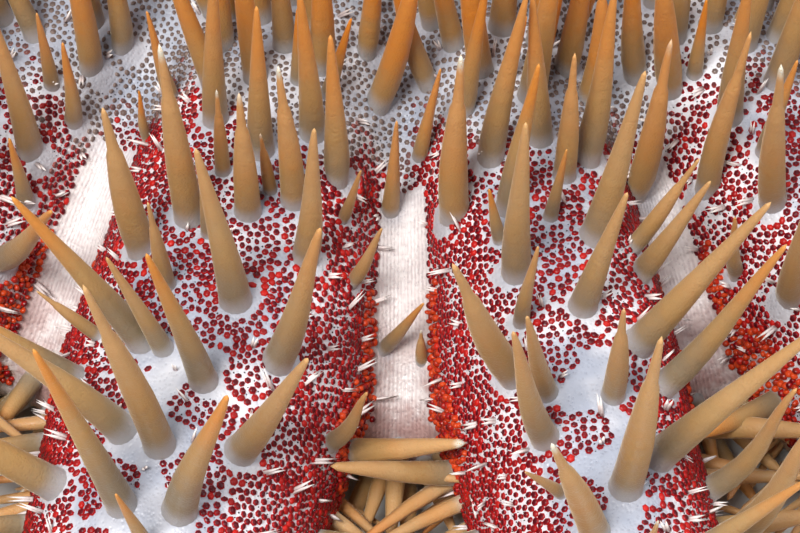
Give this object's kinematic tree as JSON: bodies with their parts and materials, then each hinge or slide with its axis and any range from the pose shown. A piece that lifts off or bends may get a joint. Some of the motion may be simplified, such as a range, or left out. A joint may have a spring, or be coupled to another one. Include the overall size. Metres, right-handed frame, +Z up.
{
  "type": "crown of thorns starfish",
  "caption": "Life-size crown of thorns starfish: a domed disc, tapering arms all round it and long pointed spines, lying flat on its underside.",
  "frame": {"origin": "on the floor, under the middle of the disc", "axes": "+Z up; -Y runs along the valley between the two front arms, towards the viewer of the picture; +X to that viewer's right"},
  "size_m": [0.3163, 0.3156, 0.0629],
  "materials": {
    "disc_skin": "pale lavender-grey wet skin with dark red and grey-brown papulae, tan spines with orange tips",
    "arm_skin": "pale skin thickly set with dark red papulae, tan spines with orange tips",
    "spines": "satin tan sheath turning orange at the tip",
    "papulae": "wet dark red, brighter at the rims",
    "underside": "soft pale orange skin, tube feet and blunt spines"
  },
  "bodies": {
    "root": {"arm_01": "arm_skin", "arm_02": "arm_skin", "arm_03": "arm_skin", "arm_04": "arm_skin", "arm_05": "arm_skin", "arm_06": "arm_skin", "arm_07": "arm_skin", "arm_08": "arm_skin", "arm_09": "arm_skin", "arm_10": "arm_skin", "arm_11": "arm_skin", "arm_12": "arm_skin", "arm_13": "arm_skin", "arm_14": "arm_skin", "arm_15": "arm_skin", "arm_16": "arm_skin", "disc": "disc_skin"}
  },
  "joints": []
}
